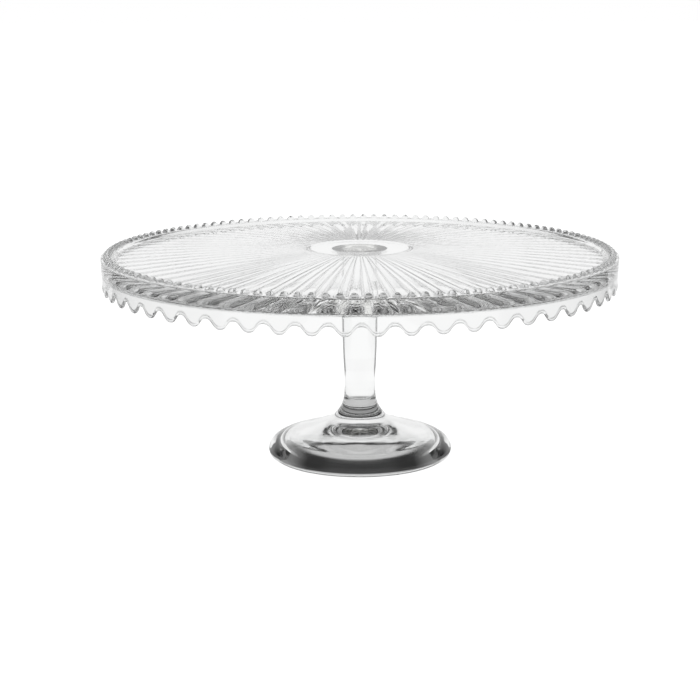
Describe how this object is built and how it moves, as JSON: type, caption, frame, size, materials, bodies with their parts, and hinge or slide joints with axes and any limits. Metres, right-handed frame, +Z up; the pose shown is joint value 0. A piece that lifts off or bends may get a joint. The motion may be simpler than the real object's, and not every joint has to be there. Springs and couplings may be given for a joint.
{
  "type": "footed cake stand",
  "caption": "Clear glass cake stand: crowned plate with beaded rim, ribbed underside and scalloped skirt, bonded to a stem on a hollow round foot.",
  "frame": {"origin": "centre of the foot's flat resting ring, on the table", "axes": "+Z up along the stand's axis of revolution; +X and +Y are free, because the stand is round"},
  "size_m": [0.32, 0.32, 0.1328],
  "materials": {
    "plate_glass": "clear pressed glass, fire-polished gloss with faint mould waviness",
    "bond_adhesive": "clear cured adhesive film",
    "pedestal_glass": "clear pressed glass, fire-polished gloss"
  },
  "bodies": {
    "root": {"plate": "plate_glass", "bond_film": "bond_adhesive", "pedestal": "pedestal_glass"}
  },
  "joints": []
}
